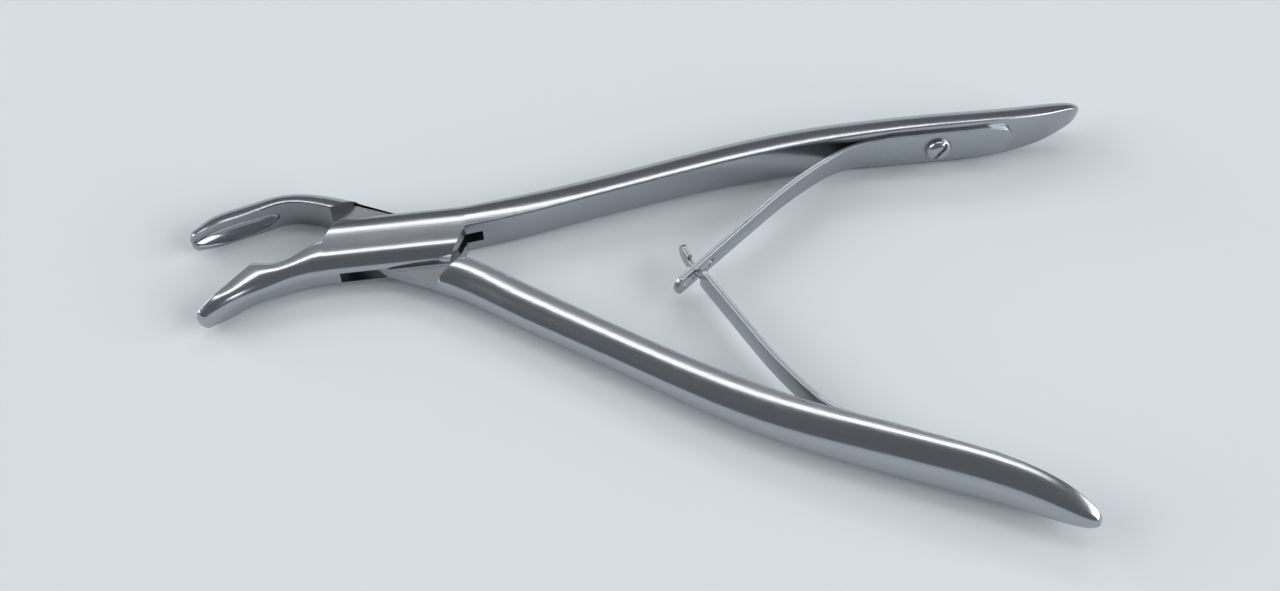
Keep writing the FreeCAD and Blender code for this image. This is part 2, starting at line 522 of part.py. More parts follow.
def leaf_profile(body):
    """Edge view of a leaf: plate on its seat, bend, long sweep and straight free end."""
    sketch = new_sketch(body, "leaf_profile", "XY_Plane")
    thick = size("Sizes.leaf_thickness")
    bend = size("Sizes.leaf_bend_angle") * DEGREE
    last = size("Sizes.leaf_angle") * DEGREE
    bend_radius = size("Sizes.leaf_bend_radius")
    sweep_radius = size("Sizes.leaf_sweep_radius")
    straight = size("Sizes.leaf_straight")
    seat = size("Sizes.seat_inset")
    rear = size("Sizes.leaf_end")
    quarter = math.pi / 2
    bend_centre = Vector(size("Sizes.leaf_bend_start"), seat - thick / 2 - bend_radius, 0)
    bend_out = Vector(-math.sin(bend), math.cos(bend), 0)
    sweep_centre = bend_centre + bend_out * (bend_radius - sweep_radius)
    normal = Vector(-math.sin(last), math.cos(last), 0)
    along = Vector(-math.cos(last), -math.sin(last), 0)
    rails = []
    for offset in (thick / 2, -thick / 2):
        start = Vector(bend_centre.x, bend_centre.y + bend_radius + offset, 0)
        sweep_end = sweep_centre + normal * (sweep_radius + offset)
        rails.append((start, sweep_end, sweep_end + along * straight))
    outer, inner = rails
    sketch.addGeometry(Part.LineSegment(Vector(rear, seat, 0), outer[0]), False)
    arc(sketch, bend_centre, bend_radius + thick / 2, quarter, quarter + bend)
    arc(sketch, sweep_centre, sweep_radius + thick / 2, quarter + bend, quarter + last)
    sketch.addGeometry(Part.LineSegment(outer[1], outer[2]), False)
    sketch.addGeometry(Part.LineSegment(outer[2], inner[2]), False)
    sketch.addGeometry(Part.LineSegment(inner[2], inner[1]), False)
    arc(sketch, sweep_centre, sweep_radius - thick / 2, quarter + bend, quarter + last)
    arc(sketch, bend_centre, bend_radius - thick / 2, quarter, quarter + bend)
    sketch.addGeometry(Part.LineSegment(inner[0], Vector(rear, seat - thick, 0)), False)
    sketch.addGeometry(Part.LineSegment(Vector(rear, seat - thick, 0), Vector(rear, seat, 0)), False)
    for first, first_end, second, second_end in ((0, 2, 1, 1), (1, 2, 2, 1), (2, 2, 3, 1),
                                                 (5, 2, 6, 2), (6, 1, 7, 2), (7, 1, 8, 1)):
        sketch.addConstraint(Sketcher.Constraint("Tangent", first, first_end, second, second_end))
    for first, second in ((3, 4), (4, 5), (8, 9), (9, 0)):
        sketch.addConstraint(Sketcher.Constraint("Coincident", first, 2, second, 1))
    sketch.addConstraint(Sketcher.Constraint("Horizontal", 0))
    sketch.addConstraint(Sketcher.Constraint("Horizontal", 8))
    sketch.addConstraint(Sketcher.Constraint("Vertical", 9))
    sketch.addConstraint(Sketcher.Constraint("Coincident", 1, 3, 7, 3))
    sketch.addConstraint(Sketcher.Constraint("Coincident", 2, 3, 6, 3))
    sketch.addConstraint(Sketcher.Constraint("Perpendicular", 3, 4))
    sketch.addConstraint(Sketcher.Constraint("Parallel", 3, 5))
    sizes = [
        ("bend_outer", Sketcher.Constraint("Radius", 1, bend_radius + thick / 2),
         "Sizes.leaf_bend_radius + Sizes.leaf_thickness / 2"),
        ("bend_inner", Sketcher.Constraint("Radius", 7, bend_radius - thick / 2),
         "Sizes.leaf_bend_radius - Sizes.leaf_thickness / 2"),
        ("sweep_outer", Sketcher.Constraint("Radius", 2, sweep_radius + thick / 2),
         "Sizes.leaf_sweep_radius + Sizes.leaf_thickness / 2"),
        ("bend_start", Sketcher.Constraint("DistanceX", -1, 1, 1, 1, bend_centre.x), "Sizes.leaf_bend_start"),
        ("bend_end", Sketcher.Constraint("DistanceX", 1, 2, 1, 1, (bend_radius + thick / 2) * math.sin(bend)),
         "(Sizes.leaf_bend_radius + Sizes.leaf_thickness / 2) * sin(Sizes.leaf_bend_angle * 1 deg)"),
        ("seat_level", Sketcher.Constraint("DistanceY", -1, 1, 0, 1, seat), "Sizes.seat_inset"),
        ("rear_end", Sketcher.Constraint("DistanceX", -1, 1, 0, 1, rear), "Sizes.leaf_end"),
        ("free_run", Sketcher.Constraint("DistanceX", 3, 2, 3, 1, straight * math.cos(last)),
         "Sizes.leaf_straight * cos(Sizes.leaf_angle * 1 deg)"),
        ("free_rise", Sketcher.Constraint("DistanceY", 3, 2, 3, 1, straight * math.sin(last)),
         "Sizes.leaf_straight * sin(Sizes.leaf_angle * 1 deg)"),
    ]
    for name, constraint, expression in sizes:
        bind(sketch, name, sketch.addConstraint(constraint), expression)
    return sketch


def trim_leaf(body, half_widths):
    """Cut both edges of the leaf to half widths given at places along the instrument."""
    margin = "Sizes.leaf_plate_width"
    for name, sign in (("upper", 1), ("lower", -1)):
        edge = [(place, "%d * (%s)" % (sign, half)) for place, half in half_widths]
        corner = [(half_widths[-1][0], "%d * %s" % (sign, margin)), (half_widths[0][0], "%d * %s" % (sign, margin))]
        pocket(body, outline(body, name + "_edge", "XZ_Plane", edge + corner), name + "_trim")


def leaf_spring(label, side, mirrored):
    """One leaf of the double spring, cut to width, with the hole for its screw."""
    body = new_body(label, side, mirrored)
    pad(body, leaf_profile(body), "leaf", "Sizes.leaf_plate_width")
    beyond = "Sizes.leaf_tip_x - 2"
    widths = [("Sizes.leaf_end + 1", "Sizes.leaf_tail_width / 2 - 0.3"),
              ("Sizes.leaf_plate_rear", "Sizes.leaf_plate_width / 2"),
              ("Sizes.leaf_plate_front", "Sizes.leaf_plate_width / 2"),
              ("Sizes.leaf_neck_place", "Sizes.leaf_neck_width / 2")]
    run = "cos(Sizes.leaf_angle * 1 deg)"
    if mirrored:
        shoulder = "Sizes.leaf_tip_x + Sizes.tongue_shoulder * " + run
        head = "Sizes.leaf_tip_x + Sizes.tongue_head_length * " + run
        widths += [(shoulder + " + 2", "Sizes.tongue_leaf_width / 2"),
                   (shoulder + " + 0.6", "Sizes.tongue_leaf_width / 2 - 0.4"),
                   (shoulder, "Sizes.tongue_width / 2"),
                   (head, "Sizes.tongue_width / 2"),
                   (head, "Sizes.tongue_head_width / 2"),
                   (beyond, "Sizes.tongue_head_width / 2")]
    else:
        widths += [("Sizes.leaf_tip_x + 1.2", "Sizes.slotted_end_width / 2"),
                   ("Sizes.leaf_tip_x + 0.3", "Sizes.slotted_end_width / 2 - 0.4"),
                   ("Sizes.leaf_tip_x - 0.5", "Sizes.slotted_end_width / 2 - 1.3"),
                   (beyond, "Sizes.slotted_end_width / 2 - 1.3")]
    trim_leaf(body, widths)
    if not mirrored:
        near = "Sizes.leaf_tip_x + Sizes.leaf_slot_end * " + run
        far = "Sizes.leaf_tip_x + (Sizes.leaf_slot_end + Sizes.leaf_slot_length) * " + run
        half = "Sizes.leaf_slot_width / 2"
        corner = "Sizes.leaf_slot_width / 4"
        points = [("%s + %s" % (near, corner), "-" + half), ("%s - %s" % (far, corner), "-" + half),
                  (far, "-" + corner), (far, corner), ("%s - %s" % (far, corner), half),
                  ("%s + %s" % (near, corner), half), (near, corner), (near, "-" + corner)]
        pocket(body, outline(body, "leaf_slot_outline", "XZ_Plane", points), "leaf_slot")
    hole = "Sizes.screw_diameter / 2 + Sizes.screw_hole_clearance"
    screw_hole = round_outline(body, "screw_hole_circle", "XZ_Plane", ("Sizes.screw_place", "0", "0"), hole)
    pocket(body, screw_hole, "screw_hole", "2 * Sizes.seat_inset + 2")
    return body


def spring_screw(label, side, mirrored):
    """Screw with a driver slot; its bevelled head bears on the leaf and its shank enters the handle."""
    body = new_body(label, side, mirrored)
    under_head = "Sizes.seat_inset - Sizes.leaf_thickness"
    at_head = ("Sizes.screw_place", "0", "-(%s)" % under_head)
    at_end = ("Sizes.screw_place", "0", "-(Sizes.seat_inset + Sizes.screw_depth)")
    shank = round_outline(body, "shank_circle", "XZ_Plane", at_end, "Sizes.screw_diameter / 2")
    pad(body, shank, "shank", "Sizes.screw_depth + Sizes.leaf_thickness", symmetric=False)
    head = round_outline(body, "head_circle", "XZ_Plane", at_head, "Sizes.screw_head_diameter / 2")
    rim = pad(body, head, "head", "Sizes.screw_head_height", symmetric=False)
    doc.recompute()
    level = size(under_head + " - Sizes.screw_head_height")
    radius = size("Sizes.screw_head_diameter / 2")
    edges = []
    for index, edge in enumerate(rim.Shape.Edges, 1):
        box = edge.BoundBox
        if abs(box.YMax - level) < 0.01 and abs(box.YMin - level) < 0.01 and box.XLength > radius:
            edges.append("Edge%d" % index)
    crown = body.newObject("PartDesign::Chamfer", "crown")
    crown.Base = (rim, edges)
    crown.setExpression("Size", "Sizes.screw_head_height * 0.6")
    half = "Sizes.screw_slot_width / 2"
    reach = "Sizes.screw_head_diameter"
    left = "Sizes.screw_place - " + half
    right = "Sizes.screw_place + " + half
    points = [(left, "-" + reach), (right, "-" + reach), (right, reach), (left, reach)]
    top = "-(%s - Sizes.screw_head_height - 1)" % under_head
    groove = outline(body, "driver_slot_outline", "XZ_Plane", points, ("0", "0", top))
    pocket(body, groove, "driver_slot", "Sizes.screw_slot_depth + 1", symmetric=False)
    return body


bodies = [
    box_member(),
    through_member(),
    joint_pin(),
    leaf_spring("slotted_spring", 1, False),
    leaf_spring("tongue_spring", -1, True),
    spring_screw("spring_screw_upper", 1, False),
    spring_screw("spring_screw_lower", -1, True),
]
sheet.clear(SPARE_CELL)
doc.recompute()

faults = []
for item in doc.Objects:
    if "Invalid" in item.State or "Error" in item.State:
        faults.append("%s: %s" % (item.Name, ", ".join(item.State)))
    if hasattr(item, "Shape") and item.TypeId.startswith("PartDesign") and item not in bodies:
        if item.Shape.isNull() or not item.Shape.isValid():
            faults.append("%s has no valid shape" % item.Name)
for body in bodies:
    if body.Shape.isNull() or not body.Shape.isValid():
        faults.append("%s is not a valid body" % body.Label)
    elif len(body.Shape.Solids) != 1:
        faults.append("%s is in %d pieces" % (body.Label, len(body.Shape.Solids)))
if faults:
    raise RuntimeError("; ".join(faults))

os.makedirs("parts", exist_ok=True)
for body in bodies:
    body.Shape.exportStep("parts/%s.step" % body.Label)
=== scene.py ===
import math

import bmesh
import bpy
import numpy as np
from bpy.props import FloatProperty, FloatVectorProperty, PointerProperty
from mathutils import Matrix, Vector


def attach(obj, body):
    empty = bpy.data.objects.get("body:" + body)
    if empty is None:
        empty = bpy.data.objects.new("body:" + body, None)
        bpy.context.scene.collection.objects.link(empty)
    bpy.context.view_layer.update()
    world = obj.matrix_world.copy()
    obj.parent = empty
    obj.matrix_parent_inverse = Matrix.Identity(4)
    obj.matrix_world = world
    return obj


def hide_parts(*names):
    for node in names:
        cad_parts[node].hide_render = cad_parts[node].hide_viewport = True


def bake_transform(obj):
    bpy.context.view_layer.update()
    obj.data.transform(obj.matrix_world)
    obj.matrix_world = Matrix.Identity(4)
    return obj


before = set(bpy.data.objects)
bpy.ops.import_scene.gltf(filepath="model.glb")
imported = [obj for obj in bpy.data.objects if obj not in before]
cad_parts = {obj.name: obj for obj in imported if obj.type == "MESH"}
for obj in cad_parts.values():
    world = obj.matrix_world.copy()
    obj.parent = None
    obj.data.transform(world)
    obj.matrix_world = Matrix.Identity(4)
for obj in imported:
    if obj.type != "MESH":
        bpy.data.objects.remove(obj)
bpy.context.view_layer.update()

bl_info = {
    "name": "Bone rongeur",
    "version": (1, 0, 0),
    "blender": (4, 5, 0),
    "location": "3D View > Sidebar > Rongeur",
    "description": "Rongeur with a box lock and a double leaf spring, built round its CAD frame",
    "category": "Object",
}

MM = 0.001
# Points closer together than this are one point.
MERGE = 0.0002 * MM

# The tables of stations are of the closed instrument, in millimetres from the pin and in degrees.
# Stations of a handle: place along, inset of the flat inner face, thickness, height.
HANDLE = np.array([
    (12.2, 0.35, 5.85, 8.4),
    (22.0, 1.7, 6.05, 8.0),
    (33.0, 3.7, 5.9, 7.7),
    (47.0, 6.2, 5.75, 7.9),
    (63.0, 8.7, 5.95, 8.7),
    (76.0, 10.0, 5.95, 9.9),
    (88.0, 10.35, 5.8, 11.2),
    (100.0, 10.35, 5.6, 11.85),
    (111.0, 10.35, 5.35, 11.4),
    (118.5, 10.95, 4.9, 9.9),
    (124.0, 12.1, 4.05, 7.8),
    (127.2, 13.2, 2.95, 5.7),
    (128.9, 13.95, 1.85, 3.6),
    (129.45, 14.4, 1.1, 2.1),
])
# Stations of a jaw behind its rim: the inner face's place along and across, turn, thickness, height.
LOWER_ARM = np.array([
    (-11.0, 0.5, 0.0, 5.75, 8.4),
    (-13.2, 0.5, 0.0, 5.75, 8.4),
    (-17.9, -1.6, 10.0, 4.05, 7.8),
    (-22.2, -2.75, 18.0, 3.9, 7.3),
])
UPPER_ARM = np.array([
    (-8.0, 1.9, 0.0, 4.3, 8.4),
    (-13.5, 1.9, 0.0, 4.1, 7.9),
    (-18.2, 1.65, 9.0, 3.7, 7.4),
    (-22.4, 0.4, 27.0, 3.5, 7.2),
])
# Stations along a rim: share of the rim's length, turn, thickness, height.
LOWER_RIM = np.array([
    (0.0, 27.0, 5.35, 7.1),
    (0.38, 36.0, 3.75, 6.9),
    (0.725, 40.6, 2.7, 6.4),
    (0.9, 40.6, 2.1, 5.3),
    (0.975, 40.6, 1.5, 3.9),
    (1.0, 40.6, 0.9, 2.4),
])
UPPER_RIM = np.array([
    (0.06, 38.0, 3.95, 7.1),
    (0.38, 40.6, 4.1, 6.9),
    (0.725, 40.6, 3.45, 6.4),
    (0.9, 40.6, 2.5, 5.3),
    (0.975, 40.6, 1.7, 3.9),
    (1.0, 40.6, 1.0, 2.4),
])


def length(name, description, millimetres):
    """A length property in metres whose default is given in millimetres."""
    return FloatProperty(name=name, description=description, default=millimetres * MM, unit="LENGTH")


def angle(name, description, degrees):
    """An angle property whose default is given in degrees."""
    return FloatProperty(name=name, description=description, default=math.radians(degrees), subtype="ANGLE")


def plain(name, description, value):
    """A property without a unit."""
    return FloatProperty(name=name, description=description, default=value, min=0)


def linear(code):
    """Linear colour of an sRGB hex value."""
    parts = np.array([int(code[i:i + 2], 16) for i in (1, 3, 5)]) / 255
    return tuple(np.where(parts <= 0.04045, parts / 12.92, ((parts + 0.055) / 1.055) ** 2.4))


def colour(name, description, code):
    """A colour property whose default is an sRGB hex value."""
    return FloatVectorProperty(name=name, description=description, size=3, min=0, max=1,
                               subtype="COLOR", default=linear(code))


class BoxSizes(bpy.types.PropertyGroup):
    """Sizes of the box lock and its pin."""

    opening: angle("Opening", "Angle between the members at rest", 25.0)
    height: length("Height", "Thickness of the box lock", 8.4)
    near: length("Near side", "Centre line to the side that carries the jaw", 5.25)
    far: length("Far side", "Centre line to the side that carries the handle", 6.2)
    front: length("Front", "Pin to the jaw end of the box", 13.2)
    back: length("Back", "Pin to the handle end of the box", 12.2)
    squareness: plain("Squareness", "Power of the box's superellipse: 2 is an ellipse", 3.0)
    slant: angle("Slant", "Angle of the box's ends from the centre line", 60.0)
    jaw_slant: angle("Jaw slant", "Angle of the upper jaw's shoulder from the centre line", 50.0)
    handle_gap: length("Handle gap", "Box to handle shoulder when closed", 0.7)
    jaw_gap: length("Jaw gap", "Box to jaw shoulder when closed", 0.5)
    slot_height: length("Slot height", "Height of the slot through the box", 2.9)
    slot_length: length("Slot length", "Slot across its end walls", 22.6)
    lap: length("Lap clearance", "Clearance above and below the waist", 0.05)
    waist_reach: length("Waist reach", "Pin to the slanted ends of the waist", 9.2)
    pin: length("Pin", "Diameter of the joint pin", 4.0)


class JawSizes(bpy.types.PropertyGroup):
    """Sizes of the cupped jaws."""

    rim_x: length("Rim place", "Rear corner of the rims along the instrument", -26.1)
    rim_y: length("Rim side", "Rear corner of the rims across the instrument", -2.5)
    rim_slope: angle("Rim slope", "Angle of the parting plane", 40.6)
    rim_length: length("Rim length", "Rear corner to tips", 12.9)
    rim_gap: length("Rim gap", "Clearance between the rims when closed", 0.1)
    stock: length("Stock", "Metal ground off each rim", 0.15)
    cup_length: length("Cup length", "Length of the hollow", 16.0)
    cup_width: length("Cup width", "Width of the hollow", 5.8)
    cup_depth: length("Cup depth", "Depth of the hollow", 2.6)
    cup_setback: length("Cup setback", "Rear corner to the middle of the hollow", 4.5)
    ease: length("Ease", "Eased edge of the flat faces", 0.3)
    handle_squareness: plain("Handle squareness", "Power of a handle's superellipse: 2 is an ellipse", 2.4)
    upper_squareness: plain("Upper squareness", "Power along the upper handle beyond its root", 2.05)
    jaw_squareness: plain("Jaw squareness", "Power of the upper jaw's superellipse", 2.0)


class SpringSizes(bpy.types.PropertyGroup):
    """Sizes of the leaf springs and their screws."""

    seat: length("Seat", "Centre line to the spring seat", 10.45)
    thickness: length("Thickness", "Thickness of a leaf", 0.9)
    rear: length("Rear end", "Pin to the rear end of the leaf", 115.6)
    plate_rear: length("Plate rear", "Rear end of the full width", 110.5)
    plate_front: length("Plate front", "Jaw end of the full width", 92.5)
    neck: length("Neck", "Where the leaf bends most as the handles close", 84.0)
    bend_start: length("Bend start", "Where the leaf leaves its seat", 89.0)
    bend_radius: length("Bend radius", "Radius of the first bend", 20.0)
    bend: angle("Bend", "Turn of the first bend", 27.0)
    sweep_radius: length("Sweep radius", "Radius of the long sweep", 80.0)
    lean: angle("Lean", "Angle of the straight end", 38.0)
    straight: length("Straight", "Length of the straight end", 23.9)
    plate_width: length("Plate width", "Width at the screw", 8.6)
    neck_width: length("Neck width", "Width beyond the bend", 5.6)
    tail_width: length("Tail width", "Width at the rear end", 6.2)
    end_width: length("Slotted end", "Width of the slotted leaf at its tip", 4.4)
    shoulder_width: length("Shoulder width", "Width of the tongue leaf at its shoulder", 5.2)
    slot_width: length("Slot width", "Width of the window", 1.9)
    slot_length: length("Slot length", "Length of the window", 8.0)
    slot_end: length("Slot end", "Metal beyond the window", 1.5)
    tongue_width: length("Tongue width", "Width of the tongue", 1.3)
    tongue_length: length("Tongue length", "Tip to the shoulder", 7.2)
    head_length: length("Head length", "Length of the tongue's head", 3.2)
    head_width: length("Head width", "Width of the tongue's head", 3.8)
    hook: angle("Hook", "Turn of the tongue's head", 14.0)
    screw_place: length("Screw place", "Pin to the screw", 101.3)
    screw_head: length("Screw head", "Diameter of the screw's head", 5.0)
    screw_rise: length("Screw rise", "Height of the screw's head", 1.5)
    screw_shank: length("Screw shank", "Diameter of the shank", 3.0)
    screw_depth: length("Screw depth", "Length of the shank in the handle", 3.6)
    driver_width: length("Driver slot", "Width of the driver slot", 0.8)
    driver_depth: length("Driver depth", "Depth of the driver slot", 0.7)
    driver_turn: angle("Driver turn", "Turn of the driver slot", 62.0)


class FinishSettings(bpy.types.PropertyGroup):
    """Colours and finishes."""

    steel: colour("Steel", "Forged stainless steel", "#ABAEB3")
    spring: colour("Spring steel", "Rolled spring steel", "#A8ACB2")
    screw: colour("Screw steel", "Turned stainless steel", "#B0B3B7")
    paper: colour("Paper", "Pale floor", "#CFD6DB")


def sizes(name):
    """The property group of that name."""
    return getattr(bpy.context.scene, "rongeur_" + name)


def natural_curve(knots, values, at):
    """Smooth curve through the values: a cubic in each span, with the same slope and bending on both
    sides of every knot and no bending at the two ends."""
    step = np.diff(knots)
    count = len(knots)
    inner = np.arange(1, count - 1)
    system = np.zeros((count, count))
    system[0, 0] = system[-1, -1] = 1
    system[inner, inner - 1] = step[:-1]
    system[inner, inner] = 2 * (step[:-1] + step[1:])
    system[inner, inner + 1] = step[1:]
    right = np.zeros_like(values)
    right[1:-1] = 6 * np.diff(np.diff(values, axis=0) / step[:, None], axis=0)
    bending = np.linalg.solve(system, right)
    k = np.clip(np.searchsorted(knots, at, side="right") - 1, 0, count - 2)
    h = step[k][:, None]
    after = (at - knots[k])[:, None]
    before = h - after
    cubic = (bending[k] * before ** 3 + bending[k + 1] * after ** 3) / (6 * h)
    first = (values[k] / h - bending[k] * h / 6) * before
    last = (values[k + 1] / h - bending[k + 1] * h / 6) * after
    return cubic + first + last


def drop(distance, radius):
    """Depth of a rounded edge below its flat at a distance from the edge: r - sqrt(r^2 - (r - d)^2)."""
    inside = np.clip(radius - distance, 0, radius)
    return radius - np.sqrt(radius ** 2 - inside ** 2)


def stations(table, spacing):
    """Places along a table of stations, measured along its inner line, about one spacing apart."""
    run = np.concatenate([[0], np.cumsum(np.hypot(*np.diff(table[:, :2], axis=0).T))])
    return run, np.linspace(0, run[-1], int(run[-1] / spacing) + 1)


def new_piece(name, rings, material=None, body=None, replaced=(), slot_name=None):
    """A closed skin over rings of points. A ring is its upper row from the inner edge to the outer, then
    its lower row back; each end is closed by quads between the two rows. A skin without a material is a
    cutter, and one without a body is not attached to one."""
    count, around = rings.shape[:2]
    grid = np.arange(count * around).reshape(count, around)
    following = np.roll(grid, -1, axis=1)
    walls = np.stack([grid[:-1], following[:-1], following[1:], grid[1:]], axis=-1).reshape(-1, 4)
    left = np.arange(around // 2 - 1)
    cap = np.stack([left, around - 1 - left, around - 2 - left, left + 1], axis=-1)
    ends = np.concatenate([cap, cap[:, ::-1] + grid[-1, 0]])
    faces = np.concatenate([walls, ends])
    mesh = bpy.data.meshes.new(name)
    mesh.from_pydata((rings.reshape(-1, 3) * MM).tolist(), [], faces.tolist())
    piece = bpy.data.objects.new(name, mesh)
    bpy.context.collection.objects.link(piece)
    tidy(piece)
    if material:
        mesh.materials.append(material)
        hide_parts(*replaced)
        if body:
            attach(piece, body)
    return piece


def tidy(piece):
    """Merge the points that coincide, drop what has no area and turn every face outwards."""
    work = bmesh.new()
    work.from_mesh(piece.data)
    bmesh.ops.remove_doubles(work, verts=work.verts, dist=MERGE)
    bmesh.ops.dissolve_degenerate(work, edges=work.edges, dist=MERGE)
    bmesh.ops.recalc_face_normals(work, faces=work.faces)
    work.to_mesh(piece.data)
    work.free()


def cut(piece, cutter):
    """Take the cutter's volume out of the piece for good, and throw the cutter away."""
    modifier = piece.modifiers.new("cut", "BOOLEAN")
    modifier.operation = "DIFFERENCE"
    modifier.solver = "EXACT"
    modifier.object = cutter
    view = bpy.context.evaluated_depsgraph_get()
    mesh = bpy.data.meshes.new_from_object(piece.evaluated_get(view))
    piece.modifiers.clear()
    old = piece.data
    mesh.name = old.name
    piece.data = mesh
    bpy.data.meshes.remove(old)
    bpy.data.objects.remove(cutter)
    tidy(piece)


def polish(piece, crease=32.0):
    """Smooth shading that keeps the edges sharper than the crease angle."""
    piece.data.shade_smooth()
    piece.data.set_sharp_from_angle(angle=math.radians(crease))


def swing(points, side):
    """Turn closed-frame points open by half the opening and lift them to the middle of the box."""
    box = sizes("box")
    half = side * box.opening / 2
    x, y, z = np.moveaxis(points, -1, 0)
    turned = [x * math.cos(half) - y * math.sin(half), x * math.sin(half) + y * math.cos(half)]
    return np.stack(turned + [z + box.height / 2 / MM], axis=-1)


def limb_rings(table, side, power, ease, shoulder=None):
    """Rings of a handle or jaw. A section is the outer half of a superellipse behind a flat inner face:
    its height falls off as (1 - (across / thickness)^n)^(1 / n), less the drop of the eased inner edge.
    A shoulder (place, slant) cuts off what lies inside of the slanted line."""
    x, inset, turn, thick, high = table.T[:, :, None]
    power = power[:, None]
    quarter = np.linspace(0, np.pi / 2, 41)[None]
    near = ease * (1 - np.cos(np.linspace(0, np.pi / 2, 5)[None])) + np.zeros_like(x)
    across = np.sort(np.concatenate([near, thick * np.sin(quarter[:, 1:]) ** (2 / power)], axis=1), axis=1)
    if shoulder:
        place, slant = shoulder
        least = side * ((x - place) * math.tan(slant) - inset)
        across = np.clip(across, np.clip(least, 0, thick), None)
    rise = high / 2 * np.clip(1 - (across / thick) ** power, 0, 1) ** (1 / power)
    rise = np.clip(rise - drop(across, ease), 0, None)
    lean = np.radians(turn)
    rows_x = x - side * across * np.sin(lean)
    rows_y = inset + side * across * np.cos(lean)
    upper = np.stack([rows_x, rows_y, rise], axis=-1)
    lower = np.stack([rows_x, rows_y, -rise], axis=-1)[:, ::-1]
    return np.concatenate([upper, lower], axis=1)


def rim_frame():
    """Rear corner of the rims, the way forward along them and the way up to the upper jaw, closed."""
    jaw = sizes("jaw")
    corner = np.array([jaw.rim_x, jaw.rim_y]) / MM
    ahead = -np.array([math.cos(jaw.rim_slope), math.sin(jaw.rim_slope)])
    upward = np.array([-math.sin(jaw.rim_slope), math.cos(jaw.rim_slope)])
    return corner, ahead, upward


def jaw_table(arm, rim, side):
    """Stations of a whole jaw: those of its arm, then those along its rim, which stand proud by the
    metal to be ground off."""
    jaw = sizes("jaw")
    corner, ahead, upward = rim_frame()
    inner = corner + rim[:, :1] * jaw.rim_length / MM * ahead - side * jaw.stock / MM * upward
    return np.concatenate([arm, np.concatenate([inner, rim[:, 1:]], axis=1)])


def ground(rings, side):
    """Press what stands proud of the parting plane back onto it, from just behind the rear corner on."""
    jaw = sizes("jaw")
    corner, ahead, upward = rim_frame()
    place = rings[..., :2] - corner
    behind = place @ ahead < -4 * jaw.stock / MM
    excess = np.clip(jaw.rim_gap / 2 / MM - side * (place @ upward), 0, None)
    excess = np.where(behind, 0, excess)
    rings = rings.copy()
    rings[..., :2] += side * excess[..., None] * upward
    return rings


def limb(name, table, squareness, side, start, shoulder, spacing, shape=None):
    """Swung rings of a handle or jaw from a starting place along its stations. The squareness is given
    for the first stations; the rest keep its last value."""
    run, at = stations(table, spacing)
    from_tip = np.array([0.03, 0.1, 0.25, 0.5])
    least_step = 0.05
    beyond_start = at[at > start + least_step]
    at = np.unique(np.concatenate([[start], beyond_start, at[-1] - from_tip]))
    power = np.array(squareness)[np.clip(np.arange(len(table)), 0, len(squareness) - 1)]
    smooth = natural_curve(run, np.column_stack([table, power]), at)
    rings = limb_rings(smooth[:, :5], side, smooth[:, 5], sizes("jaw").ease / MM, shoulder)
    if shape:
        rings = shape(rings, side)
    return swing(rings, 1 if name == "box" else -1)


def handle_table(side, lead=None):
    """Stations of a handle with its turn of nought, mirrored on the lower one."""
    table = np.insert(HANDLE, 2, 0, axis=1)
    if lead:
        table = np.concatenate([[lead], table])
    table[:, 1] *= side
    return table


def ellipsoid(name, centre, turn, radii, side):
    """Ellipsoid: a sphere's latitude and longitude scaled along its three axes."""
    up, around = np.meshgrid(np.linspace(0, np.pi, 49), np.linspace(0, 2 * np.pi, 97)[:-1], indexing="ij")
    x = radii[0] * np.sin(up) * np.cos(around)
    y = radii[1] * np.sin(up) * np.sin(around)
    z = radii[2] * np.cos(up)
    turned_x = x * math.cos(turn) - y * math.sin(turn) + centre[0]
    turned_y = x * math.sin(turn) + y * math.cos(turn) + centre[1]
    return new_piece(name, swing(np.stack([turned_x, turned_y, z], axis=-1), side))


def cup_cutter(side):
    """The hollow of one jaw, on the parting plane."""
    jaw = sizes("jaw")
    corner, ahead, upward = rim_frame()
    centre = corner + jaw.cup_setback / MM * ahead
    radii = np.array([jaw.cup_length / 2, jaw.cup_depth, jaw.cup_width / 2]) / MM
    return ellipsoid("cup_cutter", centre, jaw.rim_slope, radii, side)


def prism(outline, low, high):
    """Rings of an upright prism: the outline at its two heights."""
    outline = np.array(outline, dtype=float)
    level = np.ones((len(outline), 1))
    return np.stack([np.hstack([outline, level * low]), np.hstack([outline, level * high])])


def slot_cutter():
    """The square slot through the box, turned by 45 degrees in plan."""
    box = sizes("box")
    reach = box.slot_length / math.sqrt(2) / MM
    half = box.slot_height / 2 / MM
    corners = [(reach, 0), (0, reach), (-reach, 0), (0, -reach)]
    return new_piece("slot_cutter", swing(prism(corners, -half, half), 1))


def box_rings():
    """The box lock: a superellipse in section, half height times (1 - |y / side|^n)^(1 / n), where side is
    the width on that side of the centre line. Its two ends run square up to the root of the handle or
    jaw that they carry, and slant away beyond it."""
    box = sizes("box")
    root = HANDLE[0, 1]
    jaw_root = LOWER_ARM[1, 1]
    share = np.sin(np.linspace(0, np.pi / 2, 41)) ** (2 / box.squareness)
    y = np.unique(np.concatenate([-box.near / MM * share, box.far / MM * share, [root, jaw_root]]))
    half = np.where(y < 0, box.near, box.far) / MM
    rise = box.height / 2 / MM * (1 - np.abs(y / half) ** box.squareness) ** (1 / box.squareness)
    slope = math.tan(box.slant)
    front = -box.front / MM + np.clip(y - jaw_root, 0, None) / slope
    back = box.back / MM + np.clip(y - root, None, 0) / slope
    along = np.linspace(0, 1, 9)[:, None]
    x = front + along * (back - front)
    y, rise = np.broadcast_arrays(y, rise, x)[:2]
    upper = np.stack([x, y, rise], axis=-1)
    lower = np.stack([x, y, -rise], axis=-1)[:, ::-1]
    return swing(np.concatenate([upper, lower], axis=1), 1)


